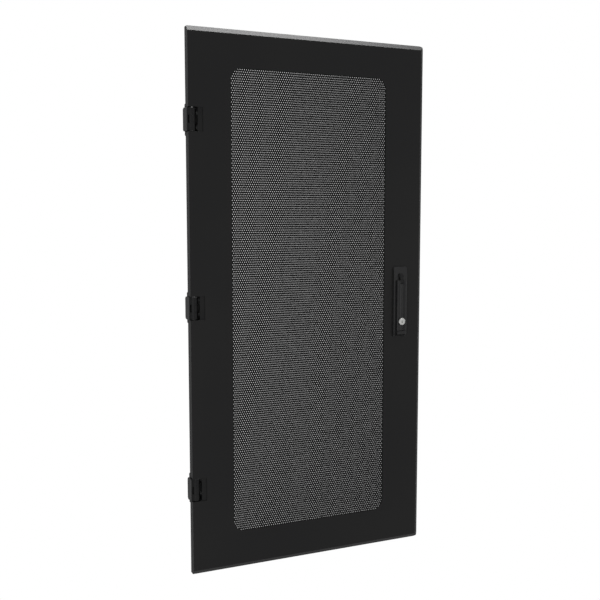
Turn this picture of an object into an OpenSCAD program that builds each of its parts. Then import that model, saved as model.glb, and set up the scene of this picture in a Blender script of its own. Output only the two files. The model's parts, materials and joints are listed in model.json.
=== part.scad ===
// Perforated steel rack door with three pin hinges and a swing handle.
// Origin: on the cabinet's mounting face, between the two screw holes of the
// middle hinge, level with the door's mid height. +Z up, +X towards the handle,
// -Y out of the cabinet. A depth is counted backwards from the door's front face.

/* [Door skin] */
// Width over the side flanges
door_w = 610; // [500:1:760]
// Height over the top and bottom flanges
door_h = 1254; // [1100:1:1900]
// Depth of the side flanges
door_depth = 22; // [20:0.5:30]
// Thickness of the door's sheet
sheet_t = 1.5; // [1:0.1:2]
// Size of the bevel along the top, the bottom and the handle side
bevel = 12; // [6:0.5:14]
// Radius of the two corners on the handle side
corner_r = 11; // [6:0.5:12]
// Radius of the two corners on the hinge side
hinge_corner_r = 3; // [2:0.5:6]
// Width of the lip that is folded inwards at the back
lip_w = 14; // [8:0.5:18]
// Gap between the back of the door and the cabinet
back_gap = 6.5; // [5:0.5:12]

/* [Window and perforated panel] */
// Width of the door's face between its hinge side and the window
window_left = 100; // [98:1:130]
// Width of the door's face between the window and its handle side
window_right = 110; // [98:1:140]
// Height of the door's face above the window
window_top = 86.5; // [60:0.5:140]
// Height of the door's face below the window
window_bottom = 91.5; // [60:0.5:140]
// Radius of the window's corners
window_r = 29; // [10:1:60]
// Thickness of the perforated sheet
panel_t = 1.5; // [1:0.1:2]
// How far the perforated sheet runs behind the door on each side
panel_lap = 12; // [9:0.5:13]
// Distance between neighbouring holes
hole_pitch = 30; // [26:1:60]
// Diameter of one hole
hole_d = 23; // [8:0.5:24]
// Least metal left between the holes and the window's edge
hole_margin = 2.5; // [1:0.5:10]

/* [Clamp rails] */
// How far the rails stay back from the window's edge
rail_back = 0.5; // [0:0.5:2]
// Height of the rail's upright leg
rail_h = 12; // [6:0.5:16]
// Thickness of the rail
rail_t = 1.5; // [1:0.1:2]
// Diameter of the weld studs that hold the rails
stud_d = 4; // [3:0.5:5]
// Length of the weld studs
stud_l = 9; // [8:0.5:14]
// Width over the flats of the stud nuts
stud_nut_w = 7; // [6:0.5:8]
// Thickness of the stud nuts
stud_nut_t = 3.2; // [2:0.1:4]
// Number of studs on each upright rail
stud_count_up = 5; // [3:1:9]
// Number of studs on each cross rail
stud_count_across = 3; // [2:1:5]

/* [Stiffening channels] */
// Width of the channel's closed part
channel_w = 18; // [12:0.5:20]
// Width of each foot of the channel
channel_foot = 5; // [4:0.5:6]
// Depth of the channel
channel_depth = 15; // [8:0.5:16]
// Thickness of the channel
channel_t = 1.5; // [1:0.1:2]
// Gap between the channel's ends and the door's flanges
channel_end = 24; // [18:1:60]
// Distance from the hinge side to the middle of the left channel
channel_left = 70; // [64:0.5:72]
// Distance from the handle side to the middle of the right channel
channel_right = 34; // [32:0.5:38]

/* [Hinges] */
// Distance from the door's hinge side to the hinge pins
pin_inset = 9.5; // [9:0.5:11]
// Distance from the door's front face back to the hinge pins
pin_depth = 8.5; // [8:0.5:9.5]
// Distance from the door's upper and lower edges to the nearest hinge's middle
hinge_end = 204; // [100:1:300]
// Diameter of the hinge pin
pin_d = 6; // [5:0.5:7]
// Radial running clearance between pin and door knuckle
pin_clear = 0.06; // [0.02:0.01:0.1]
// Diameter of the knuckles
knuckle_d = 17; // [14:0.5:17.5]
// Height of the door's knuckle
knuckle_mid_h = 16; // [12:0.5:20]
// Height of each knuckle on the cabinet's side
knuckle_end_h = 16; // [12:0.5:16.5]
// Thickness of the washers between the knuckles
washer_t = 1; // [0.8:0.1:1.5]
// Height of the notch that the hinge sits in
notch_h = 54; // [52:0.5:64]
// Width of the notch in the door's face
notch_w = 34; // [30:0.5:36]
// Depth of the notch in the door's side flange
notch_depth = 16; // [15:0.5:17]
// Thickness of the hinge leaf on the door
leaf_t = 3; // [2:0.1:4]
// Distance from the pin to the near edge of the hinge leaf
leaf_near = 13; // [12.5:0.5:15]
// Distance from the pin to the far edge of the hinge leaf
leaf_far = 42; // [38:0.5:44]
// Height of the hinge leaf
leaf_h = 64; // [60:1:80]
// Thickness of the cabinet block's side wall at its front edge
flank_t = 2; // [1.5:0.1:3]
// How much the side wall thickens towards the cabinet
flank_flare = 1.2; // [0:0.1:3]
// Gap between the door's side and the cabinet block
flank_gap = 0.9; // [0.8:0.1:1.5]
// Height of the cabinet block
block_h = 52; // [50:0.5:60]
// Size of the bevels on the block's two back corners
block_bevel = 4; // [1:0.5:6]
// Thickness of the cabinet block's foot
foot_t = 2.5; // [2:0.1:3]
// Distance from the pins to the screw holes in the foot
foot_hole_x = 9.5; // [9:0.5:12]
// Metal from the screw holes' centres to the far edge of the foot
foot_edge = 8; // [5:0.5:10]
// Height of the cabinet block's foot
foot_h = 72; // [60:1:80]
// Depth of the leaf's edge that is folded inwards beside the knuckles
leaf_fold = 14; // [13:0.5:15]
// Distance between the two screw holes in a foot
foot_hole_spacing = 32; // [28:0.5:34]
// Diameter of the screw holes in a foot
foot_hole_d = 5.5; // [5:0.1:6]

/* [Swing handle] */
// Distance from the door's handle side to the middle of the handle
handle_inset = 66.5; // [60:0.5:70]
// Length of the handle's base below the lever's tip
base_foot = 15; // [14:0.5:24]
// Width of the handle's base
base_w = 38; // [37:0.5:44]
// Height of the handle's base above its gasket
base_h = 4.9; // [4:0.1:7]
// Height of the base's centre below the door's mid height
base_drop = 5.5; // [0:0.5:20]
// Length of the slope at the base's upper end
top_slope = 25; // [15:0.5:30]
// Length of the slope at the base's lower end
end_slope = 9; // [6:0.5:12]
// Width of the slope along the base's sides
side_slope = 3; // [2:0.5:5]
// Thickness of the gasket under the base
gasket_t = 1.5; // [0.5:0.1:2]
// Distance from the base's upper end down to the spindle
spindle_drop = 23; // [22:0.5:30]
// Diameter of the spindle
spindle_d = 10; // [8:0.5:12]
// Radial running clearance round the spindle
spindle_clear = 0.06; // [0.02:0.01:0.1]
// Diameter of the spindle's round head
head_d = 13; // [12:0.5:16]
// Gap between the moving handle and its base
handle_gap = 0.4; // [0.3:0.1:1]
// Width of the lever
lever_w = 25; // [22:0.5:28]
// Thickness of the lever
lever_t = 7; // [6.5:0.1:9]
// Distance from the spindle down to the lever's hinge pin
lever_pin_drop = 14; // [13:0.5:18]
// Distance from the spindle down to the lever's tip
lever_reach = 137; // [120:1:140]
// Width of the slope along the lever's sides
lever_slope = 2; // [1:0.5:5]
// Diameter of the lever's hinge pin
lever_pin_d = 3; // [2.5:0.1:3.5]
// Width of the lug between the lever's cheeks
lug_w = 8; // [6:0.5:10]

/* [Lock and latch] */
// Distance from the lever's tip up to the key cylinder
lock_rise = 23.5; // [23.5:0.5:34]
// Diameter of the key cylinder's face
lock_d = 18; // [16:0.5:19]
// Diameter of the key cylinder's barrel
barrel_d = 12; // [10:0.5:14]
// Radial running clearance round the barrel
barrel_clear = 0.06; // [0.02:0.01:0.1]
// Width of the lock bolt
bolt_w = 8; // [6:0.5:9]
// Width of the lock bolt's head
bolt_head_w = 14; // [13:0.5:15]
// Thickness of the lock bolt
bolt_t = 2; // [1.5:0.1:2.2]
// Diameter of the driving pin behind the key cylinder
driver_d = 2.4; // [2:0.1:2.6]
// Thickness of the plate that closes the bolt's pocket
cover_t = 0.8; // [0.6:0.1:1]
// Gap round the sliding bolt
bolt_gap = 0.1; // [0.05:0.05:0.2]
// Travel of the lock bolt
bolt_travel = 4; // [3:0.5:5]
// Width of the catch that takes the bolt
catch_w = 25; // [18:1:26]
// Length of the catch along the handle
catch_l = 8; // [7:0.5:9]
// Length of the latch cam from the spindle to its tip
cam_reach = 74; // [70:0.5:78]
// Width of the latch cam
cam_w = 18; // [16:0.5:24]
// Thickness of the latch cam
cam_t = 3; // [2:0.1:4]
// Gap between the cabinet's front face and the latch cam
cam_back = 3; // [2:0.5:6]
// Width over the flats of the spindle's square end
square_w = 6.5; // [6:0.1:7]

/* [Stops and earthing] */
// Diameter of the rubber stops
stop_d = 11; // [8:0.5:12]
// Diameter of the holes for the rubber stops
stop_hole_d = 5; // [4:0.5:6]
// Distance from the door's upper and lower edges to the outer rubber stops
stop_end = 67; // [40:1:120]
// Distance from mid height to the inner rubber stops
stop_mid = 220; // [150:5:300]
// Diameter of the earthing stud
earth_d = 6; // [5:0.5:8]
// Length of the earthing stud
earth_l = 18; // [14:0.5:19]
// Distance from the door's hinge side to the earthing stud
earth_in = 30; // [25:1:40]
// Height of the earthing stud above the door's lower edge
earth_rise = 67; // [40:1:120]

/* [Hidden] */
$fn = 48;
eps = 0.5;
bend_k = tan(22.5);

// Depth behind the front face, turned into a Y place
cabinet_depth = door_depth + back_gap;
function at(depth) = depth - cabinet_depth;

pin_x = -foot_hole_x;
door_x0 = pin_x - pin_inset;
door_x1 = door_x0 + door_w;
door_z1 = door_h / 2;
hinge_z = [door_z1 - hinge_end, 0, hinge_end - door_z1];

win_x0 = door_x0 + window_left;
win_x1 = door_x1 - window_right;
win_z0 = window_bottom - door_z1;
win_z1 = door_z1 - window_top;
win_xc = (win_x0 + win_x1) / 2;
win_zc = (win_z0 + win_z1) / 2;
window_w = win_x1 - win_x0;
window_h = win_z1 - win_z0;

rail_d = sheet_t + panel_t;
stud_ease = 0.4;
stud_x = win_x0 - panel_lap / 2;
stud_z = win_z1 + panel_lap / 2;
stud_hole_d = stud_d + stud_ease;
stud_end = 30;

row_step = hole_pitch * sin(60);
hole_cols = floor((window_w - 2 * hole_margin - hole_d) / hole_pitch) + 1;
hole_rows = floor((window_h - 2 * hole_margin - hole_d) / row_step) + 1;

pin_r = pin_d / 2;
knuckle_r = knuckle_d / 2;
knuckle_top = knuckle_mid_h / 2 + washer_t + knuckle_end_h;
pin_head_h = 1.4;
pin_head_r = pin_r + 2;
clip_t = 1;
clip_r = pin_r + 2;
groove_r = pin_r - 0.6;
axial_gap = 0.1;
clip_mouth = 3;
pin_tail = 0.8;
washer_in = 0.4;
web_in = 2;
web_t = 4.5;
arm_front = 6;
arm_back = 5;
pin_chamfer = 0.5;
foot_corner_r = 3;
leaf_stud_x = pin_x + (notch_w - pin_inset + leaf_far) / 2;
leaf_stud_z = 20;
leaf_stud_d = 5;
leaf_stud_l = 12;
leaf_nut_w = 8;
leaf_nut_t = 4;

handle_x = door_x1 - handle_inset;
base_l = spindle_drop + lever_reach + base_foot;
base_z0 = -base_drop - base_l / 2;
base_z1 = base_z0 + base_l;
base_rim = 1;
side_rim = 3.5;
base_corner_r = 3;
spindle_z = base_z1 - spindle_drop;
spindle_r = spindle_d / 2;
boss_wall = 6;
boss_r = spindle_r + boss_wall;
boss_l = 6;
boss_end = sheet_t + boss_l;
boss_root = 1;
screw_r = 2.5;
screw_boss_r = 5;
screw_gap = 0.05;
screw_roof = 1;
screw_short = 1;
screw_head_r = 4.6;
screw_head_h = 3;
screw_crown_r = 3;
screw_crown_h = 1.2;
hole_ease = 0.3;
boss_ease = 0.5;
upper_screw_drop = 24;
lower_screw_rise = 23;
screw_z = [spindle_z - upper_screw_drop, base_z0 + lower_screw_rise];
clamp_t = 2;
clamp_w = 30;
clamp_in_top = 6;
clamp_in_end = 8;
clamp_corner_r = 4;

base_top = -gasket_t - base_h;
screw_l = sheet_t + clamp_t - base_top - screw_roof - screw_short;
lever_back = base_top - handle_gap;
lever_front = lever_back - lever_t;
lever_pin_z = spindle_z - lever_pin_drop;
lever_pin_depth = lever_back - lever_t / 2;
lever_tip_z = spindle_z - lever_reach;
lever_corner = 2.1;
lever_end = 3.4;
tip_bevel = 1.5;
lever_edge_drop = 0.5;
lever_groove = 1.8;
lever_shoulder = 1.8;
rib_top = 3;
rib_foot = 5.5;
pin_fit = 0.02;
pin_set_in = 2.2;
lug_gap = 0.3;
fork_gap = 1.4;
lock_boss = 0.5;
head_t = 2.4;
lug_top = 1;
spindle_groove = 0.7;
spindle_clip_w = 2.5;
spindle_clip_mouth = 4;
square_root = 1;
recess_r = head_d / 2 + 1;
recess_depth = 1.2;

lock_z = lever_tip_z + lock_rise;
lock_r = lock_d / 2;
lock_face_t = 1.6;
lock_face_gap = 0.1;
lock_chamfer = 0.5;
keyway_l = 7;
keyway_w = 1.2;
keyway_depth = 1.5;
barrel_r = barrel_d / 2;
bolt_back = lever_back - cover_t - bolt_gap;
pocket_roof = bolt_back - bolt_t - bolt_gap;
driver_off = bolt_travel / 2;
bolt_short = 0.3;
bolt_tip_z = lever_tip_z + bolt_short;
bolt_head_l = 14;
bolt_slot_wall = 1.5;
bolt_slot_ease = 0.2;
cover_w = 19;
cover_l = 40;
catch_gap = 1;
catch_foot = 2;
catch_step = 0.8;
catch_slot_l = 5;
catch_slot_t = 4.4;
catch_z1 = lever_tip_z - catch_gap;

cam_depth = cabinet_depth + cam_back;
thread_r = 3;
cam_hub = 2;
cam_nut_w = 10;
cam_nut_t = 5;
cam_washer_t = 1.6;
cam_washer_r = 6.5;
thread_past = 1;
thread_end = cam_depth + cam_t + cam_washer_t + cam_nut_t + thread_past;
washer_ease = 0.2;
clip_depth = boss_end + handle_gap;

stop_x = door_x1 - lip_w / 2;
stop_z = [door_z1 - stop_end, stop_mid, -stop_mid, stop_end - door_z1];
earth_x = door_x0 + earth_in;
earth_z = earth_rise - door_z1;
stop_ease = 0.1;
stop_barb = 0.8;
stop_taper = 0.6;
stop_tail = 2.5;
stop_bevel = 1.5;
earth_flange_t = 1.5;
earth_flange_w = 2;
earth_washer_w = 3.5;
earth_washer_t = 1;
earth_nut_t = 5;
earth_nut_w = 10;

// Flat stock of thickness t whose front face lies at the given depth
module plate(depth, t) {
    translate([0, at(depth + t), 0]) rotate([90, 0, 0]) linear_extrude(height = t) children();
}

// Outline seen from above, drawn with depths as its second value, run upwards
module upright(z0, z1) {
    translate([0, at(0), z0]) linear_extrude(height = z1 - z0) children();
}

// Outline seen from the side, as (depth, height) points, run along X
module crosswise(x0, x1) {
    translate([x0, at(0), 0]) rotate([90, 0, 90]) linear_extrude(height = x1 - x0) children();
}

// Round bar along Y between two depths
module bar(x, z, r, from, to) {
    translate([x, at(from), z]) rotate([-90, 0, 0]) cylinder(h = to - from, r = r);
}

// Hexagonal nut along Y with a round bore
module nut(x, z, width, bore_r, from, t) {
    translate([x, at(from), z]) rotate([-90, 0, 0]) difference() {
        cylinder(h = t, r = width / 2 / cos(30), $fn = 6);
        translate([0, 0, -eps]) cylinder(h = t + 2 * eps, r = bore_r);
    }
}

// Rectangle from corner to corner
module box2(x0, z0, x1, z1) {
    translate([x0, z0]) square([x1 - x0, z1 - z0]);
}

// Rectangle whose left and right corners have their own radii
module round_box2(x0, z0, x1, z1, r_left, r_right) {
    difference() {
        box2(x0, z0, x1, z1);
        corner_waste(x0, z0, r_left, 1, 1);
        corner_waste(x0, z1, r_left, 1, -1);
        corner_waste(x1, z0, r_right, -1, 1);
        corner_waste(x1, z1, r_right, -1, -1);
    }
}

// What a rounded corner takes off a square one
module corner_waste(x, z, r, sx, sz) {
    translate([x, z]) scale([sx, sz]) difference() {
        translate([-eps, -eps]) square(r + eps);
        translate([r, r]) circle(r = r);
    }
}

// Solid form of the folded door, moved inwards by the sheet's thickness or 0
module pan(inset, depth) {
    x0 = door_x0 + inset;
    x1 = door_x1 - inset;
    z1 = door_z1 - inset;
    turn = bevel + bend_k * inset;
    intersection() {
        upright(-z1, z1) polygon([
            [x0, inset], [door_x1 - turn, inset], [x1, turn], [x1, depth], [x0, depth]
        ]);
        crosswise(x0, x1) polygon([
            [inset, -door_z1 + turn], [turn, -z1], [depth, -z1],
            [depth, z1], [turn, z1], [inset, door_z1 - turn]
        ]);
        plate(0, depth) round_box2(x0, -z1, x1, z1, hinge_corner_r - inset, corner_r - inset);
    }
}

module door_skin() {
    lip_x0 = door_x0 + lip_w;
    lip_x1 = door_x1 - lip_w;
    lip_z = door_z1 - lip_w;
    color("#222222") difference() {
        pan(0, door_depth);
        pan(sheet_t, door_depth - sheet_t);
        plate(door_depth - sheet_t - eps, sheet_t + 2 * eps)
            box2(lip_x0, -lip_z, lip_x1, lip_z);
        plate(-eps, sheet_t + 2 * eps)
            round_box2(win_x0, win_z0, win_x1, win_z1, window_r, window_r);
        for (z = hinge_z) hinge_notch(z);
        bar(handle_x, spindle_z, boss_r + boss_ease, -eps, sheet_t + eps);
        for (z = screw_z) bar(handle_x, z, screw_boss_r + hole_ease, -eps, sheet_t + eps);
        for (z = stop_z)
            bar(stop_x, z, stop_hole_d / 2, door_depth - sheet_t - eps, door_depth + eps);
    }
}

module hinge_notch(z) {
    z0 = z - notch_h / 2;
    z1 = z + notch_h / 2;
    upright(z0, z1) box2(door_x0 - eps, -eps, door_x0 + notch_w, sheet_t + eps);
    upright(z0, z1) box2(door_x0 - eps, -eps, door_x0 + sheet_t + eps, notch_depth);
}

// True where a hole at (x, z) from the window's centre clears its round corners
function hole_fits(x, z) =
    let (dx = abs(x) - (window_w / 2 - window_r), dz = abs(z) - (window_h / 2 - window_r))
    dx < 0 || dz < 0 || norm([dx, dz]) < window_r - hole_d / 2;

module perforated_panel() {
    lap = panel_lap;
    color("#1c1c1c") plate(sheet_t, panel_t) difference() {
        box2(win_x0 - lap, win_z0 - lap, win_x1 + lap, win_z1 + lap);
        for (row = [0 : hole_rows - 1], col = [0 : hole_cols - 1 - row % 2]) {
            x = (col - (hole_cols - 1 - row % 2) / 2) * hole_pitch;
            z = (row - (hole_rows - 1) / 2) * row_step;
            if (hole_fits(x, z))
                translate([win_xc + x, win_zc + z]) circle(d = hole_d, $fn = 16);
        }
        for (p = rail_stud_places()) translate(p) circle(d = stud_hole_d);
    }
}

// Places of the weld studs round the window
function spread(n, low, high) = [for (i = [0 : n - 1]) low + (high - low) * i / (n - 1)];
function up_stud_z() = spread(stud_count_up, win_z0 + stud_end, win_z1 - stud_end);
function across_stud_x() = spread(stud_count_across, win_x0 + stud_end, win_x1 - stud_end);
function rail_stud_places() = concat(
    [for (z = up_stud_z(), s = [-1, 1]) [win_xc + s * (win_xc - stud_x), z]],
    [for (x = across_stud_x(), s = [-1, 1]) [x, win_zc + s * (stud_z - win_zc)]]
);

// Angle section with its upright leg at the outer edge, as (across, depth)
module angle_section() {
    w = panel_lap - rail_back;
    polygon([
        [0, 0], [w, 0], [w, rail_t], [rail_t, rail_t], [rail_t, rail_h], [0, rail_h]
    ]);
}

module upright_rail(side) {
    color("#262626") difference() {
        translate([win_xc, 0, 0]) scale([side, 1, 1])
            upright(win_z0 - panel_lap, win_z1 + panel_lap)
            translate([-window_w / 2 - panel_lap, rail_d]) angle_section();
        for (z = up_stud_z())
            bar(win_xc - side * (win_xc - stud_x), z, stud_hole_d / 2, rail_d - eps, rail_d + rail_t + eps);
    }
}

module cross_rail(side) {
    z_edge = window_h / 2 + panel_lap;
    color("#262626") difference() {
        translate([0, 0, win_zc]) scale([1, 1, side]) crosswise(win_x0, win_x1)
            translate([rail_d, -z_edge]) mirror([1, -1]) angle_section();
        for (x = across_stud_x())
            bar(x, win_zc - side * (stud_z - win_zc), stud_hole_d / 2,
                rail_d - eps, rail_d + rail_t + eps);
    }
}

module rail_studs() {
    color("#8a8c8e") for (p = rail_stud_places())
        bar(p[0], p[1], stud_d / 2, sheet_t, sheet_t + stud_l);
}

module rail_nuts() {
    color("#9a9c9e") for (p = rail_stud_places())
        nut(p[0], p[1], stud_nut_w, stud_d / 2 + pin_fit, rail_d + rail_t, stud_nut_t);
}

// Hat section spot welded to the back of the door's face
module channel(x) {
    w = channel_w / 2;
    f = w + channel_foot;
    t = channel_t;
    color("#262626") translate([x, 0, 0])
        upright(-door_z1 + channel_end, door_z1 - channel_end) translate([0, sheet_t]) polygon([
            [-f, 0], [t - w, 0], [t - w, channel_depth - t], [w - t, channel_depth - t],
            [w - t, 0], [f, 0], [f, t], [w, t], [w, channel_depth],
            [-w, channel_depth], [-w, t], [-f, t]
        ]);
}

// One of the two knuckles on the cabinet's side, with its arm
module end_knuckle(z) {
    translate([pin_x, at(pin_depth), z]) cylinder(h = knuckle_end_h, r = knuckle_r);
    upright(z, z + knuckle_end_h)
        box2(door_x0 - flank_gap - eps, pin_depth - arm_front, pin_x, pin_depth + arm_back);
}

module hinge_block(z) {
    x_in = door_x0 - flank_gap;
    foot_x1 = pin_x + foot_hole_x + foot_edge;
    half = block_h / 2;
    color("#2b2b2b") difference() {
        union() {
            intersection() {
                upright(z - half, z + half) polygon([
                    [x_in, flank_gap], [x_in - flank_t, flank_gap + flank_t],
                    [x_in - flank_t - flank_flare, cabinet_depth], [pin_x, cabinet_depth],
                    [pin_x, cabinet_depth - foot_t], [x_in, cabinet_depth - foot_t]
                ]);
                crosswise(x_in - 2 * flank_t - flank_flare, pin_x) polygon([
                    [0, z - half], [cabinet_depth - block_bevel, z - half],
                    [cabinet_depth, z - half + block_bevel], [cabinet_depth, z + half - block_bevel],
                    [cabinet_depth - block_bevel, z + half], [0, z + half]
                ]);
            }
            plate(cabinet_depth - foot_t, foot_t) round_box2(
                door_x0, z - foot_h / 2, foot_x1, z + foot_h / 2, foot_corner_r, foot_corner_r);
            end_knuckle(z + knuckle_mid_h / 2 + washer_t);
            end_knuckle(z - knuckle_top);
        }
        translate([pin_x, at(pin_depth), z - half]) cylinder(h = block_h, r = pin_r + pin_clear);
        for (s = [-1, 1])
            bar(pin_x + foot_hole_x, z + s * foot_hole_spacing / 2, foot_hole_d / 2,
                cabinet_depth - foot_t - eps, cabinet_depth + eps);
    }
}

module hinge_pin(z) {
    tail = knuckle_top + clip_t;
    end = tail + pin_tail;
    top = knuckle_top + pin_head_h;
    color("#2e2e2e") translate([pin_x, at(pin_depth), z]) rotate_extrude() polygon([
        [0, -end], [pin_r - pin_chamfer, -end], [pin_r, pin_chamfer - end],
        [pin_r, -tail], [groove_r, -tail], [groove_r, -knuckle_top], [pin_r, -knuckle_top],
        [pin_r, knuckle_top], [pin_head_r, knuckle_top], [pin_head_r, top - pin_chamfer],
        [pin_head_r - pin_chamfer, top], [0, top]
    ]);
}

module pin_clips() {
    color("#2e2e2e") for (z = hinge_z)
        translate([pin_x, at(pin_depth), z - knuckle_top - clip_t]) difference() {
            cylinder(h = clip_t, r = clip_r);
            translate([0, 0, -eps]) cylinder(h = clip_t + 2 * eps, r = groove_r + pin_fit);
            translate([-clip_mouth / 2, 0, -eps]) cube([clip_mouth, clip_r + eps, clip_t + 2 * eps]);
        }
}

module hinge_washers() {
    color("#1a1a1a") for (z = hinge_z, s = [-1, 1])
        translate([pin_x, at(pin_depth), z + s * (knuckle_mid_h + washer_t) / 2]) difference() {
            translate([0, 0, -washer_t / 2]) cylinder(h = washer_t, r = knuckle_r - washer_in);
            cylinder(h = washer_t + 2 * eps, r = pin_r + pin_clear, center = true);
        }
}

module hinge_leaf(z) {
    mid = knuckle_mid_h / 2 - axial_gap;
    color("#2b2b2b") difference() {
        union() {
            upright(z - leaf_h / 2, z + leaf_h / 2)
                polygon([
                    [pin_x + leaf_near, sheet_t], [pin_x + leaf_far, sheet_t],
                    [pin_x + leaf_far, sheet_t + leaf_t],
                    [pin_x + leaf_near + leaf_t, sheet_t + leaf_t],
                    [pin_x + leaf_near + leaf_t, sheet_t + leaf_fold],
                    [pin_x + leaf_near, sheet_t + leaf_fold]
                ]);
            upright(z - mid, z + mid) box2(pin_x, pin_depth + web_in,
                pin_x + leaf_near + leaf_t, pin_depth + web_in + web_t);
            translate([pin_x, at(pin_depth), z - mid]) cylinder(h = 2 * mid, r = knuckle_r);
        }
        translate([pin_x, at(pin_depth), z - knuckle_mid_h])
            cylinder(h = 2 * knuckle_mid_h, r = pin_r + pin_clear);
        for (s = [-1, 1])
            bar(leaf_stud_x, z + s * leaf_stud_z, (leaf_stud_d + stud_ease) / 2,
                -eps, sheet_t + leaf_t + eps);
    }
}

module leaf_studs() {
    color("#8a8c8e") for (z = hinge_z, s = [-1, 1])
        bar(leaf_stud_x, z + s * leaf_stud_z, leaf_stud_d / 2, sheet_t, sheet_t + leaf_stud_l);
}

module leaf_nuts() {
    color("#9a9c9e") for (z = hinge_z, s = [-1, 1])
        nut(leaf_stud_x, z + s * leaf_stud_z, leaf_nut_w, leaf_stud_d / 2 + pin_fit,
            sheet_t + leaf_t, leaf_nut_t);
}

module base_outline(margin) {
    half = base_w / 2 - margin;
    round_box2(handle_x - half, base_z0 + margin, handle_x + half, base_z1 - margin,
        base_corner_r, base_corner_r);
}

// Low plate with a long slope at its upper end and short ones elsewhere
module base_body() {
    half = base_w / 2;
    foot = -gasket_t;
    rim = foot - base_rim;
    side = foot - side_rim;
    intersection() {
        upright(base_z0, base_z1) translate([handle_x, 0]) polygon([
            [-half, foot], [-half, side], [side_slope - half, base_top],
            [half - side_slope, base_top], [half, side], [half, foot]
        ]);
        crosswise(handle_x - half, handle_x + half) polygon([
            [foot, base_z0], [rim, base_z0], [base_top, base_z0 + end_slope],
            [base_top, base_z1 - top_slope], [rim, base_z1], [foot, base_z1]
        ]);
        plate(base_top, base_h) base_outline(0);
    }
}

// Raised block at the lower end with a slot for the lock bolt
module bolt_catch() {
    half = catch_w / 2;
    crosswise(handle_x - half, handle_x + half) polygon([
        [-gasket_t, base_z0 + base_rim], [-gasket_t - catch_foot, base_z0 + base_rim],
        [lever_front + catch_step, catch_z1 - catch_l], [lever_front + catch_step, catch_z1],
        [-gasket_t, catch_z1]
    ]);
}

module handle_base() {
    color("#262626") difference() {
        union() {
            base_body();
            bolt_catch();
            bar(handle_x, spindle_z, boss_r, -gasket_t - boss_root, boss_end);
            for (z = screw_z) bar(handle_x, z, screw_boss_r, -gasket_t - boss_root, sheet_t);
        }
        bar(handle_x, spindle_z, recess_r, base_top - eps, base_top + recess_depth);
        bar(handle_x, spindle_z, spindle_r + spindle_clear, base_top, boss_end + eps);
        for (z = screw_z) bar(handle_x, z, screw_r + screw_gap, base_top + screw_roof, sheet_t + eps);
        upright(catch_z1 - catch_slot_l, catch_z1 + eps) box2(
            handle_x - bolt_w / 2 - lug_gap, bolt_back - (bolt_t + catch_slot_t) / 2,
            handle_x + bolt_w / 2 + lug_gap, bolt_back - (bolt_t - catch_slot_t) / 2);
    }
}

module handle_gasket() {
    color("#111111") plate(-gasket_t, gasket_t) difference() {
        base_outline(0.5);
        translate([handle_x, spindle_z]) circle(r = boss_r + boss_ease);
        for (z = screw_z) translate([handle_x, z]) circle(r = screw_boss_r + hole_ease);
    }
}

module handle_clamp() {
    half = clamp_w / 2;
    color("#8f9194") plate(sheet_t, clamp_t) difference() {
        round_box2(handle_x - half, base_z0 + clamp_in_end, handle_x + half, base_z1 - clamp_in_top,
            clamp_corner_r, clamp_corner_r);
        translate([handle_x, spindle_z]) circle(r = boss_r + boss_ease);
        for (z = screw_z) translate([handle_x, z]) circle(r = screw_r + hole_ease);
    }
}

module handle_screws() {
    color("#9a9c9e") for (z = screw_z)
        translate([handle_x, at(sheet_t + clamp_t), z]) rotate([-90, 0, 0]) rotate_extrude() polygon([
            [0, -screw_l], [screw_r, -screw_l], [screw_r, 0], [screw_head_r, 0],
            [screw_head_r, screw_head_h - screw_crown_h], [screw_crown_r, screw_head_h],
            [0, screw_head_h]
        ]);
}

// Round head, lug for the lever, shaft, square end and thread in one piece
module spindle() {
    half = lug_w / 2;
    top = lever_front + lug_top;
    lug_z0 = lever_pin_z - lever_end;
    lug_z1 = lever_pin_z + lever_end;
    color("#2f3031") difference() {
        union() {
            bar(handle_x, spindle_z, head_d / 2, lever_back - head_t, lever_back);
            crosswise(handle_x - half, handle_x + half) polygon([
                [lever_back, lug_z0], [top, lug_z0], [top, lug_z1],
                [lever_back - head_t, spindle_z + half], [lever_back, spindle_z + half]
            ]);
            bar(handle_x, spindle_z, spindle_r, lever_back - head_t, cam_depth);
            upright(spindle_z - square_w / 2, spindle_z + square_w / 2)
                box2(handle_x - square_w / 2, cam_depth - square_root,
                    handle_x + square_w / 2, cam_depth + cam_t);
            bar(handle_x, spindle_z, thread_r, cam_depth, thread_end);
        }
        translate([handle_x - lug_w, at(lever_pin_depth), lever_pin_z]) rotate([0, 90, 0])
            cylinder(h = 2 * lug_w, r = lever_pin_d / 2 + pin_clear);
        difference() {
            bar(handle_x, spindle_z, spindle_r + 1, clip_depth, clip_depth + clip_t);
            bar(handle_x, spindle_z, spindle_r - spindle_groove,
                clip_depth - eps, clip_depth + clip_t + eps);
        }
    }
}

module spindle_clip() {
    color("#6f7173") difference() {
        bar(handle_x, spindle_z, spindle_r + spindle_clip_w, clip_depth, clip_depth + clip_t);
        bar(handle_x, spindle_z, spindle_r - spindle_groove + pin_fit,
            clip_depth - eps, clip_depth + clip_t + eps);
        upright(spindle_z, spindle_z + spindle_d) box2(
            handle_x - spindle_clip_mouth / 2, clip_depth - eps,
            handle_x + spindle_clip_mouth / 2, clip_depth + clip_t + eps);
    }
}

// Flat arm that turns behind the edge of the cabinet's opening
module latch_cam() {
    hole_w = square_w + 2 * pin_fit;
    color("#a3a5a8") plate(cam_depth, cam_t) difference() {
        union() {
            translate([handle_x, spindle_z]) circle(r = cam_w / 2 + cam_hub);
            box2(handle_x, spindle_z - cam_w / 2, handle_x + cam_reach - cam_w / 2, spindle_z + cam_w / 2);
            translate([handle_x + cam_reach - cam_w / 2, spindle_z]) circle(r = cam_w / 2);
        }
        translate([handle_x, spindle_z]) square(hole_w, center = true);
    }
}

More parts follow.
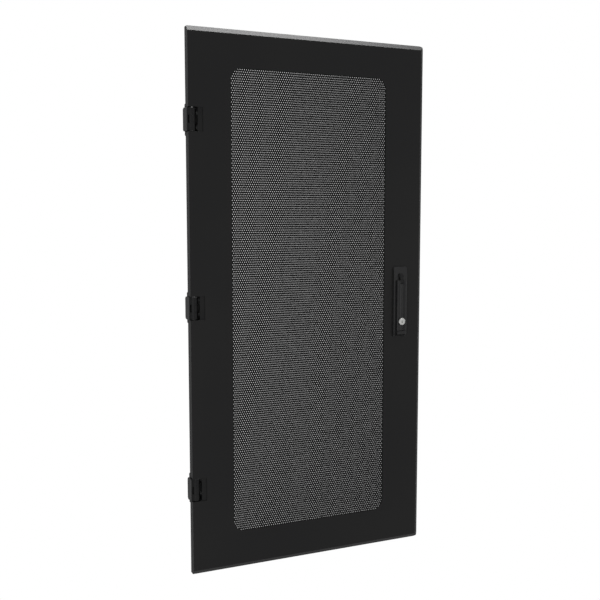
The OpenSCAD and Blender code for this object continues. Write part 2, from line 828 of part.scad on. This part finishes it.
module cam_washer() {
    color("#9a9c9e") difference() {
        bar(handle_x, spindle_z, cam_washer_r, cam_depth + cam_t, cam_depth + cam_t + cam_washer_t);
        bar(handle_x, spindle_z, thread_r + washer_ease, cam_depth, cam_depth + cam_t + cam_washer_t + eps);
    }
}

module cam_nut() {
    color("#9a9c9e") nut(handle_x, spindle_z, cam_nut_w, thread_r + pin_fit,
        cam_depth + cam_t + cam_washer_t, cam_nut_t);
}

// Section of the lever: sloped sides, two shallow grooves and a middle rib
module lever_section() {
    half = lever_w / 2;
    shoulder = lever_front + lever_shoulder;
    slope_x = half - lever_slope;
    edge = lever_front + lever_edge_drop;
    groove = lever_front + lever_groove;
    polygon([
        [-half, lever_back], [-half, shoulder], [-slope_x, edge],
        [-rib_foot, groove], [-rib_top, lever_front], [rib_top, lever_front],
        [rib_foot, groove], [slope_x, edge], [half, shoulder], [half, lever_back]
    ]);
}

module lever() {
    half = lever_w / 2;
    fork = lug_w / 2 + lug_gap;
    color("#2b2b2b") difference() {
        union() {
            intersection() {
                upright(lever_tip_z, lever_pin_z + lever_end) translate([handle_x, 0]) lever_section();
                crosswise(handle_x - half, handle_x + half) polygon([
                    [lever_back, lever_tip_z], [lever_back, lever_pin_z + lever_end - lever_corner],
                    [lever_back - lever_corner, lever_pin_z + lever_end],
                    [lever_front + lever_corner, lever_pin_z + lever_end],
                    [lever_front, lever_pin_z + lever_end - lever_corner],
                    [lever_front, lever_tip_z + tip_bevel], [lever_front + tip_bevel, lever_tip_z]
                ]);
            }
            bar(handle_x, lock_z, lock_r + lock_boss, lever_front, lever_back - lever_t / 2);
        }
        upright(lever_pin_z - lever_end - fork_gap, lever_pin_z + 2 * lever_end)
            box2(handle_x - fork, lever_front - eps, handle_x + fork, lever_back + eps);
        translate([handle_x - half, at(lever_pin_depth), lever_pin_z]) rotate([0, 90, 0])
            cylinder(h = lever_w, r = lever_pin_d / 2 + pin_fit);
        bar(handle_x, lock_z, barrel_r + barrel_clear, lever_front - eps, pocket_roof + eps);
        bolt_pocket();
    }
}

// Room for the bolt, its travel and the plate behind it
module bolt_pocket() {
    gap = bolt_gap;
    upright(lock_z - bolt_head_l / 2 - bolt_travel - gap, lock_z + bolt_head_l / 2 + gap)
        box2(handle_x - bolt_head_w / 2 - gap, pocket_roof,
            handle_x + bolt_head_w / 2 + gap, lever_back + eps);
    upright(lever_tip_z - eps, lock_z)
        box2(handle_x - bolt_w / 2 - gap, pocket_roof, handle_x + bolt_w / 2 + gap, lever_back - cover_t);
    cover_shape(gap, lever_back + eps);
}

module cover_shape(margin, back) {
    upright(lock_z - cover_l / 2 - margin, lock_z + cover_l / 2 + margin) box2(
        handle_x - cover_w / 2 - margin, lever_back - cover_t,
        handle_x + cover_w / 2 + margin, back);
}

module bolt_cover() {
    color("#8f9194") cover_shape(0, lever_back);
}

module lever_pin() {
    half = lever_w / 2 - pin_set_in;
    color("#6f7173") translate([handle_x - half, at(lever_pin_depth), lever_pin_z])
        rotate([0, 90, 0]) cylinder(h = 2 * half, r = lever_pin_d / 2);
}

module key_cylinder() {
    color("#c9cbcd") difference() {
        union() {
            translate([handle_x, at(lever_front), lock_z]) rotate([90, 0, 0]) rotate_extrude() polygon([
                [0, lock_face_gap], [lock_r, lock_face_gap], [lock_r, lock_face_t - lock_chamfer],
                [lock_r - lock_chamfer, lock_face_t],
                [0, lock_face_t]
            ]);
            bar(handle_x, lock_z, barrel_r, lever_front - eps, pocket_roof);
            bar(handle_x + driver_off, lock_z + driver_off, driver_d / 2,
                pocket_roof - eps, bolt_back - bolt_gap);
        }
        upright(lock_z - keyway_l / 2, lock_z + keyway_l / 2) box2(
            handle_x - keyway_w / 2, lever_front - lock_face_t - eps,
            handle_x + keyway_w / 2, lever_front + keyway_depth);
    }
}

// Flat bolt whose head holds a cross slot for the key cylinder's driving pin
module lock_bolt() {
    slot_half = driver_d / 2 + bolt_slot_ease;
    color("#a3a5a8") plate(bolt_back - bolt_t, bolt_t) difference() {
        union() {
            box2(handle_x - bolt_head_w / 2, lock_z - bolt_head_l / 2,
                handle_x + bolt_head_w / 2, lock_z + bolt_head_l / 2);
            box2(handle_x - bolt_w / 2, bolt_tip_z, handle_x + bolt_w / 2, lock_z);
        }
        box2(handle_x, lock_z + driver_off - slot_half, handle_x + bolt_head_w / 2 - bolt_slot_wall,
            lock_z + driver_off + slot_half);
    }
}

module rubber_stops() {
    r = stop_d / 2;
    neck = stop_hole_d / 2 - stop_ease;
    barb = neck + stop_barb;
    tail = -sheet_t - stop_tail;
    color("#0d0d0d") for (z = stop_z)
        translate([stop_x, at(door_depth), z]) rotate([-90, 0, 0]) rotate_extrude() polygon([
            [0, tail], [neck - stop_taper, tail], [barb, tail / 2 - sheet_t / 2],
            [barb, -sheet_t - stop_ease], [neck, -sheet_t - stop_ease], [neck, 0], [r, 0],
            [r, back_gap / 2], [r - stop_bevel, back_gap], [0, back_gap]
        ]);
}

module earth_stud() {
    color("#b08d4a") {
        bar(earth_x, earth_z, earth_d / 2 + earth_flange_w, sheet_t, sheet_t + earth_flange_t);
        bar(earth_x, earth_z, earth_d / 2, sheet_t, sheet_t + earth_l);
    }
}

module earth_washer() {
    from = sheet_t + earth_flange_t;
    color("#b08d4a") difference() {
        bar(earth_x, earth_z, earth_d / 2 + earth_washer_w, from, from + earth_washer_t);
        bar(earth_x, earth_z, earth_d / 2 + washer_ease, from - eps, from + earth_washer_t + eps);
    }
}

module earth_nut() {
    color("#b08d4a") nut(earth_x, earth_z, earth_nut_w, earth_d / 2 + pin_fit,
        sheet_t + earth_flange_t + earth_washer_t, earth_nut_t);
}

door_skin();
perforated_panel();
upright_rail(1);  // upright_rail_left
upright_rail(-1);  // upright_rail_right
cross_rail(-1);  // cross_rail_top
cross_rail(1);  // cross_rail_bottom
rail_studs();
rail_nuts();
channel(door_x0 + channel_left);
channel(door_x1 - channel_right);
hinge_block(hinge_z[0]);  // hinge_block_top
hinge_block(hinge_z[1]);  // hinge_block_middle
hinge_block(hinge_z[2]);  // hinge_block_bottom
hinge_pin(hinge_z[0]);  // hinge_pin_top
hinge_pin(hinge_z[1]);  // hinge_pin_middle
hinge_pin(hinge_z[2]);  // hinge_pin_bottom
pin_clips();
hinge_washers();
hinge_leaf(hinge_z[0]);  // hinge_leaf_top
hinge_leaf(hinge_z[1]);  // hinge_leaf_middle
hinge_leaf(hinge_z[2]);  // hinge_leaf_bottom
leaf_studs();
leaf_nuts();
handle_base();
handle_gasket();
handle_clamp();
handle_screws();
spindle();
spindle_clip();
latch_cam();
cam_washer();
cam_nut();
lever();
lever_pin();
bolt_cover();
key_cylinder();
lock_bolt();
rubber_stops();
earth_stud();
earth_washer();
earth_nut();
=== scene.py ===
import json
import math

import bpy
import numpy as np
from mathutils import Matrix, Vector


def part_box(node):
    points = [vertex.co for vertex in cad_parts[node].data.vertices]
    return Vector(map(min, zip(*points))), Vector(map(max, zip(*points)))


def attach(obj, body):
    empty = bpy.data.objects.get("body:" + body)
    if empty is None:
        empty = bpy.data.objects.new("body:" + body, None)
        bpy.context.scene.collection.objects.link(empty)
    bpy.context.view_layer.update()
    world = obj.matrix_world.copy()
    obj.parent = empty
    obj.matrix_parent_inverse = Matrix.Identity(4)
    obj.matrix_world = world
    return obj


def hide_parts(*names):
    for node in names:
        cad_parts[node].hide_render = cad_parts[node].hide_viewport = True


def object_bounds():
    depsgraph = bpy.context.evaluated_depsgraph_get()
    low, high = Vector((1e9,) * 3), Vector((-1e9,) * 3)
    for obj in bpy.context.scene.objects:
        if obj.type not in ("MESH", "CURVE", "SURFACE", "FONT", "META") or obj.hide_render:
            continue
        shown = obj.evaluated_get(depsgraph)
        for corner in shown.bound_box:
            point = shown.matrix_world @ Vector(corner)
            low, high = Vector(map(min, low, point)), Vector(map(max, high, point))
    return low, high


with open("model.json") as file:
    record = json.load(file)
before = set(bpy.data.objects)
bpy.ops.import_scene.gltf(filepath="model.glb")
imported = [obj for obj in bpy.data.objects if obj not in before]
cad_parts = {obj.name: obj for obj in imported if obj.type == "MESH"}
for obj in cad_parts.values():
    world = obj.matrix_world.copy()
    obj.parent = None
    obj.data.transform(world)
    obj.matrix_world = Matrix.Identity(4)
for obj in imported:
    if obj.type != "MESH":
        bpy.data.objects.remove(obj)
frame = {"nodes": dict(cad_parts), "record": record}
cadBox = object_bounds()
nodes = frame["nodes"]
record = frame["record"]
print("frame loaded:", len(nodes), "nodes")

mm = 0.001


def linkNodes(tree, *pairs):
    for source, target in pairs:
        tree.links.new(source, target)


def addNode(tree, kind, **values):
    made = tree.nodes.new(kind)
    for name, value in values.items():
        setattr(made, name, value)
    return made


def emptyTree(owner):
    owner.use_nodes = True
    owner.node_tree.nodes.clear()
    return owner.node_tree


def newGroup(name, inputs, outputs):
    group = bpy.data.node_groups.new(name, "ShaderNodeTree")
    for label, value in inputs.items():
        socket = group.interface.new_socket(label, in_out="INPUT", socket_type="NodeSocketFloat")
        socket.default_value = value
    for label, kind in outputs.items():
        group.interface.new_socket(label, in_out="OUTPUT", socket_type=kind)
    return group, addNode(group, "NodeGroupInput"), addNode(group, "NodeGroupOutput")


# Shared effect: a fine grain, as a mask from 0 to 1 and as a bumped normal
# that also rounds the edges off
def makeGrain():
    group, given, result = newGroup(
        "grain",
        {"Scale": 400, "Depth": 0.02 * mm, "Edge": 0.4 * mm},
        {"Mask": "NodeSocketFloat", "Normal": "NodeSocketVector"})
    place = addNode(group, "ShaderNodeTexCoord")
    noise = addNode(group, "ShaderNodeTexNoise")
    noise.inputs["Detail"].default_value = 3
    noise.inputs["Roughness"].default_value = 0.55
    softEdge = addNode(group, "ShaderNodeBevel", samples=4)
    bump = addNode(group, "ShaderNodeBump")
    bump.inputs["Strength"].default_value = 0.6
    linkNodes(
        group,
        (place.outputs["Object"], noise.inputs["Vector"]),
        (given.outputs["Scale"], noise.inputs["Scale"]),
        (noise.outputs["Fac"], bump.inputs["Height"]),
        (given.outputs["Depth"], bump.inputs["Distance"]),
        (given.outputs["Edge"], softEdge.inputs["Radius"]),
        (softEdge.outputs["Normal"], bump.inputs["Normal"]),
        (noise.outputs["Fac"], result.inputs["Mask"]),
        (bump.outputs["Normal"], result.inputs["Normal"]),
    )
    return group


# Shared effect: broad, soft patches that differ a little, from 0 to 1
def makePatches():
    group, given, result = newGroup("patches", {"Scale": 4}, {"Mask": "NodeSocketFloat"})
    place = addNode(group, "ShaderNodeTexCoord")
    noise = addNode(group, "ShaderNodeTexNoise")
    noise.inputs["Detail"].default_value = 2
    steps = addNode(group, "ShaderNodeMapRange", interpolation_type="SMOOTHSTEP")
    steps.inputs["From Min"].default_value = 0.3
    steps.inputs["From Max"].default_value = 0.7
    linkNodes(
        group,
        (place.outputs["Object"], noise.inputs["Vector"]),
        (given.outputs["Scale"], noise.inputs["Scale"]),
        (noise.outputs["Fac"], steps.inputs["Value"]),
        (steps.outputs["Result"], result.inputs["Mask"]),
    )
    return group


grainGroup = makeGrain()
patchGroup = makePatches()


def makeMaterial(name, look):
    material = bpy.data.materials.new(name)
    tree = emptyTree(material)
    output = addNode(tree, "ShaderNodeOutputMaterial")
    shader = addNode(tree, "ShaderNodeBsdfPrincipled")
    shader.inputs["Metallic"].default_value = look["metallic"]
    shader.inputs["Specular IOR Level"].default_value = look["specular"]
    grain = addNode(tree, "ShaderNodeGroup", node_tree=grainGroup)
    grain.inputs["Scale"].default_value = look["grainScale"]
    grain.inputs["Depth"].default_value = look["grainDepth"]
    grain.inputs["Edge"].default_value = look["edge"]
    patches = addNode(tree, "ShaderNodeGroup", node_tree=patchGroup)
    patches.inputs["Scale"].default_value = look["patchScale"]
    colour = addNode(tree, "ShaderNodeMix", data_type="RGBA")
    colour.inputs["A"].default_value = (*look["dark"], 1)
    colour.inputs["B"].default_value = (*look["light"], 1)
    rough = addNode(tree, "ShaderNodeMapRange")
    rough.inputs["To Min"].default_value = look["smooth"]
    rough.inputs["To Max"].default_value = look["rough"]
    linkNodes(
        tree,
        (patches.outputs["Mask"], colour.inputs["Factor"]),
        (grain.outputs["Mask"], rough.inputs["Value"]),
        (colour.outputs["Result"], shader.inputs["Base Color"]),
        (rough.outputs["Result"], shader.inputs["Roughness"]),
        (grain.outputs["Normal"], shader.inputs["Normal"]),
        (shader.outputs["BSDF"], output.inputs["Surface"]),
    )
    return material


looks = {
    "black_paint": {
        "metallic": 0, "specular": 0.08, "dark": (0.0108, 0.0108, 0.0111),
        "light": (0.0126, 0.0125, 0.0124), "smooth": 0.55, "rough": 0.65,
        "grainScale": 900, "grainDepth": 0.03 * mm, "patchScale": 3,
        "edge": 1.5 * mm,
    },
    "black_cast": {
        "metallic": 0, "specular": 0.08, "dark": (0.0082, 0.0082, 0.0085),
        "light": (0.0104, 0.0104, 0.0104), "smooth": 0.42, "rough": 0.54,
        "grainScale": 1400, "grainDepth": 0.02 * mm, "patchScale": 30,
        "edge": 0.6 * mm,
    },
    "black_nylon": {
        "metallic": 0, "specular": 0.14, "dark": (0.0092, 0.0092, 0.0096),
        "light": (0.0116, 0.0116, 0.0118), "smooth": 0.4, "rough": 0.52,
        "grainScale": 1800, "grainDepth": 0.03 * mm, "patchScale": 40,
        "edge": 0.6 * mm,
    },
    "zinc_steel": {
        "metallic": 1, "specular": 0.5, "dark": (0.42, 0.43, 0.44),
        "light": (0.52, 0.53, 0.54), "smooth": 0.25, "rough": 0.42,
        "grainScale": 700, "grainDepth": 0.01 * mm, "patchScale": 60,
        "edge": 0.2 * mm,
    },
    "pin_steel": {
        "metallic": 1, "specular": 0.5, "dark": (0.16, 0.16, 0.165),
        "light": (0.24, 0.24, 0.245), "smooth": 0.28, "rough": 0.4,
        "grainScale": 900, "grainDepth": 0.01 * mm, "patchScale": 90,
        "edge": 0.2 * mm,
    },
    "black_steel": {
        "metallic": 1, "specular": 0.5, "dark": (0.045, 0.045, 0.046),
        "light": (0.06, 0.06, 0.06), "smooth": 0.48, "rough": 0.6,
        "grainScale": 900, "grainDepth": 0.01 * mm, "patchScale": 90,
        "edge": 0.3 * mm,
    },
    "bright_chrome": {
        "metallic": 1, "specular": 0.5, "dark": (0.19, 0.193, 0.186),
        "light": (0.24, 0.24, 0.234), "smooth": 0.22, "rough": 0.36,
        "grainScale": 1500, "grainDepth": 0.01 * mm, "patchScale": 120,
        "edge": 0.3 * mm,
    },
    "seal_rubber": {
        "metallic": 0, "specular": 0.25, "dark": (0.006, 0.006, 0.006),
        "light": (0.010, 0.010, 0.010), "smooth": 0.6, "rough": 0.78,
        "grainScale": 1600, "grainDepth": 0.04 * mm, "patchScale": 50,
        "edge": 0.4 * mm,
    },
    "brass": {
        "metallic": 1, "specular": 0.5, "dark": (0.52, 0.36, 0.15),
        "light": (0.62, 0.45, 0.2), "smooth": 0.25, "rough": 0.4,
        "grainScale": 900, "grainDepth": 0.01 * mm, "patchScale": 90,
        "edge": 0.2 * mm,
    },
}
materials = {name: makeMaterial(name, look) for name, look in looks.items()}
sheetPaint = makeMaterial("sheet_paint", {**looks["black_paint"], "edge": 0.1 * mm})
slotOf = {part["node"]: part["material_slot"] for part in record["subparts"]}
for name, cadObject in nodes.items():
    cadObject.data.materials.clear()
    cadObject.data.materials.append(materials[slotOf[name]])
print("materials on", len(nodes), "nodes")


# Perforated sheet with its real, fine pattern
panel = {
    "pitch": 5.2 * mm, "rise": 5.25 * mm, "hole": 2 * mm, "sides": 8, "pieces": 4,
    "weldStep": 0.001 * mm,
}


def ringTriangles(outer, inner):
    # Triangles between two closed loops round the same point, both counted by angle
    def angleOf(point):
        return math.atan2(point[1], point[0]) % (2 * math.pi)
    tagged = [(angleOf(point), False, i) for i, point in enumerate(outer)]
    tagged += [(angleOf(point), True, i) for i, point in enumerate(inner)]
    tagged.sort()
    lastOuter = max(tag for tag in tagged if not tag[1])[2]
    lastInner = max(tag for tag in tagged if tag[1])[2]
    faces = []
    for _, isInner, index in tagged:
        if isInner:
            faces.append((("outer", lastOuter), ("inner", index), ("inner", lastInner)))
            lastInner = index
        else:
            faces.append((("outer", lastOuter), ("outer", index), ("inner", lastInner)))
            lastOuter = index
    return faces


def holeCell(front, back):
    # One rectangle of sheet with a round hole: its points and its triangles
    halfW = panel["pitch"] / 2
    halfH = panel["rise"] / 2
    radius = panel["hole"] / 2
    sides = panel["sides"]
    outer = [(x, halfH) for x in (halfW, 0, -halfW)] + [(x, -halfH) for x in (-halfW, 0, halfW)]
    turns = [2 * math.pi * (k + 0.5) / sides for k in range(sides)]
    inner = [(radius * math.cos(turn), radius * math.sin(turn)) for turn in turns]
    count = len(outer) + sides
    points = [(x, y, z) for y in (front, back) for x, z in outer + inner]
    number = {("outer", i): i for i in range(len(outer))}
    number.update({("inner", i): len(outer) + i for i in range(sides)})
    triangles = []
    for face in ringTriangles(outer, inner):
        a, b, c = (number[corner] for corner in face)
        triangles.append((a, b, c))
        triangles.append((a + count, c + count, b + count))
    for i in range(sides):
        a = len(outer) + i
        b = len(outer) + (i + 1) % sides
        triangles.append((a, b, b + count))
        triangles.append((a, b + count, a + count))
    return np.array(points), np.array(triangles)


def plainEnd(edgeX, side, z, front, back):
    # Half a cell without a hole, at the end of a shifted row
    innerX = edgeX - side * panel["pitch"] / 2
    halfH = panel["rise"] / 2
    corners = ((edgeX, z - halfH), (innerX, z - halfH), (innerX, z + halfH), (edgeX, z + halfH))
    points = [(x, y, cornerZ) for y in (front, back) for x, cornerZ in corners]
    return np.array(points), np.array([(0, 1, 2), (0, 2, 3), (4, 6, 5), (4, 7, 6)])


def joinMeshes(meshes):
    starts = np.cumsum([0] + [len(points) for points, _ in meshes[:-1]])
    points = np.concatenate([points for points, _ in meshes])
    triangles = np.concatenate([faces + start for (_, faces), start in zip(meshes, starts)])
    return points, triangles


def weld(points, triangles):
    keys = np.round(points / panel["weldStep"]).astype(np.int64)
    _, first, owner = np.unique(keys, axis=0, return_index=True, return_inverse=True)
    return points[first], owner.reshape(-1)[triangles]


def meshObject(name, points, faces, material):
    mesh = bpy.data.meshes.new(name)
    mesh.from_pydata([tuple(p) for p in points], [], [tuple(int(i) for i in f) for f in faces])
    mesh.validate()
    mesh.update()
    mesh.materials.append(material)
    made = bpy.data.objects.new(name, mesh)
    bpy.context.scene.collection.objects.link(made)
    return made


def panelField():
    # The field of holes covers the window and ends behind the rails
    low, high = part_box("perforated_panel")
    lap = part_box("cross_rail_top")[0].x - low.x
    columns = math.ceil((high.x - low.x - 2 * lap) / panel["pitch"])
    rows = math.ceil((high.z - low.z - 2 * lap) / panel["rise"])
    return {
        "low": low, "high": high, "columns": columns, "rows": rows,
        "midX": (low.x + high.x) / 2, "midZ": (low.z + high.z) / 2,
        "halfX": columns * panel["pitch"] / 2, "halfZ": rows * panel["rise"] / 2,
    }


def rowMeshes(field, row, cell):
    # The holes of one row; every other row is shifted by half a pitch
    cellPoints, cellTriangles = cell
    z = field["midZ"] - field["halfZ"] + (row + 0.5) * panel["rise"]
    shifted = row % 2
    meshes = []
    for column in range(field["columns"] - shifted):
        x = field["midX"] - field["halfX"] + (column + 0.5 + shifted / 2) * panel["pitch"]
        meshes.append((cellPoints + (x, 0, z), cellTriangles))
    if shifted:
        for side in (-1, 1):
            edgeX = field["midX"] + side * field["halfX"]
            meshes.append(plainEnd(edgeX, side, z, field["low"].y, field["high"].y))
    return meshes


def makePanelBorder(field):
    # Plain edge of the sheet, round the holes
    low, high = field["low"], field["high"]
    left, right = field["midX"] - field["halfX"], field["midX"] + field["halfX"]
    bottom, top = field["midZ"] - field["halfZ"], field["midZ"] + field["halfZ"]
    points = []
    for y in (low.y, high.y):
        points += [(low.x, y, low.z), (high.x, y, low.z), (high.x, y, high.z), (low.x, y, high.z)]
        points += [(left, y, bottom), (right, y, bottom), (right, y, top), (left, y, top)]
    faces = []
    for i in range(4):
        j = (i + 1) % 4
        faces.append((i, j, j + 4, i + 4))
        faces.append((i + 8, i + 12, j + 12, j + 8))
        faces.append((i, i + 8, j + 8, j))
    return meshObject("perforation_border", points, faces, sheetPaint)


def makePanel():
    field = panelField()
    cell = holeCell(field["low"].y, field["high"].y)
    share = math.ceil(field["rows"] / panel["pieces"])
    made = []
    for piece in range(panel["pieces"]):
        meshes = []
        for row in range(piece * share, min(field["rows"], (piece + 1) * share)):
            meshes += rowMeshes(field, row, cell)
        points, triangles = weld(*joinMeshes(meshes))
        made.append(meshObject(f"fine_perforation_{piece + 1}", points, triangles, sheetPaint))
    made.append(makePanelBorder(field))
    for part in made:
        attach(part, "door")
        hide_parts("perforated_panel")
    print("perforation:", field["columns"], "by", field["rows"])


makePanel()


# Floor, light and camera
studio = {"floorSize": 60, "floorDrop": 1.6, "floorColour": (0.8, 0.8, 0.8), "worldLight": 0.45}
lamps = {
    "overhead": {
        "place": (0.25, 0.3, 1.8), "target": (0.25, 0.15, 0.6), "size": (1.6, 0.8), "watts": 130,
    },
    "front_right": {
        "place": (2.3, -2.4, 0.2), "target": (0.4, 0, 0), "size": (1.2, 1.2), "watts": 14,
    },
    "front_left": {
        "place": (-1.8, -2.4, -0.2), "target": (0.2, 0, 0), "size": (1.6, 1.6), "watts": 42,
    },
}
lens = {
    "place": (-0.585, -1.9085, 0.212), "pitch": 84.367, "turn": -23.983,
    "focal": 52.03, "sensor": 36,
}


def mixWhereSeen(tree, plain, white, output):
    # The camera and reflections see the white one; the door is lit by the plain one
    path = addNode(tree, "ShaderNodeLightPath")
    cameraOrGlossy = addNode(tree, "ShaderNodeMath", operation="MAXIMUM")
    anySight = addNode(tree, "ShaderNodeMath", operation="MAXIMUM")
    mix = addNode(tree, "ShaderNodeMixShader")
    linkNodes(
        tree,
        (path.outputs["Is Camera Ray"], cameraOrGlossy.inputs[0]),
        (path.outputs["Is Glossy Ray"], cameraOrGlossy.inputs[1]),
        (cameraOrGlossy.outputs[0], anySight.inputs[0]),
        (path.outputs["Is Transmission Ray"], anySight.inputs[1]),
        (anySight.outputs[0], mix.inputs[0]),
        (plain.outputs[0], mix.inputs[1]),
        (white.outputs[0], mix.inputs[2]),
        (mix.outputs[0], output.inputs["Surface"]),
    )


def makeFloor():
    # A wide white floor below the door
    floorZ = cadBox[0][2] - studio["floorDrop"]
    bpy.ops.mesh.primitive_plane_add(size=studio["floorSize"], location=(0, 0, floorZ))
    floor = bpy.context.object
    floor.name = "floor"
    material = bpy.data.materials.new("white_floor")
    tree = emptyTree(material)
    output = addNode(tree, "ShaderNodeOutputMaterial")
    diffuse = addNode(tree, "ShaderNodeBsdfDiffuse")
    diffuse.inputs["Color"].default_value = (*studio["floorColour"], 1)
    glow = addNode(tree, "ShaderNodeEmission")
    glow.inputs["Color"].default_value = (1, 1, 1, 1)
    mixWhereSeen(tree, diffuse, glow, output)
    floor.data.materials.append(material)


def makeWorld():
    world = bpy.data.worlds.new("white_world")
    bpy.context.scene.world = world
    tree = emptyTree(world)
    output = addNode(tree, "ShaderNodeOutputWorld")
    lit = addNode(tree, "ShaderNodeBackground")
    lit.inputs["Color"].default_value = (1, 1, 1, 1)
    lit.inputs["Strength"].default_value = studio["worldLight"]
    white = addNode(tree, "ShaderNodeBackground")
    white.inputs["Color"].default_value = (1, 1, 1, 1)
    mixWhereSeen(tree, lit, white, output)


def makeLamp(name, values):
    lamp = bpy.data.lights.new(name, "AREA")
    lamp.shape = "RECTANGLE"
    lamp.size, lamp.size_y = values["size"]
    lamp.energy = values["watts"]
    holder = bpy.data.objects.new(name, lamp)
    aim = Vector(values["target"]) - Vector(values["place"])
    holder.location = values["place"]
    holder.rotation_euler = aim.to_track_quat("-Z", "Y").to_euler()
    bpy.context.scene.collection.objects.link(holder)


def makeCamera():
    camera = bpy.data.cameras.new("camera")
    camera.lens = lens["focal"]
    camera.sensor_width = lens["sensor"]
    holder = bpy.data.objects.new("camera", camera)
    holder.location = lens["place"]
    holder.rotation_euler = (math.radians(lens["pitch"]), 0, math.radians(lens["turn"]))
    bpy.context.scene.collection.objects.link(holder)
    bpy.context.scene.camera = holder


makeFloor()
makeWorld()
for name, values in lamps.items():
    makeLamp(name, values)
makeCamera()
bpy.context.scene.view_settings.view_transform = "Standard"
print("floor, lamps and camera set")
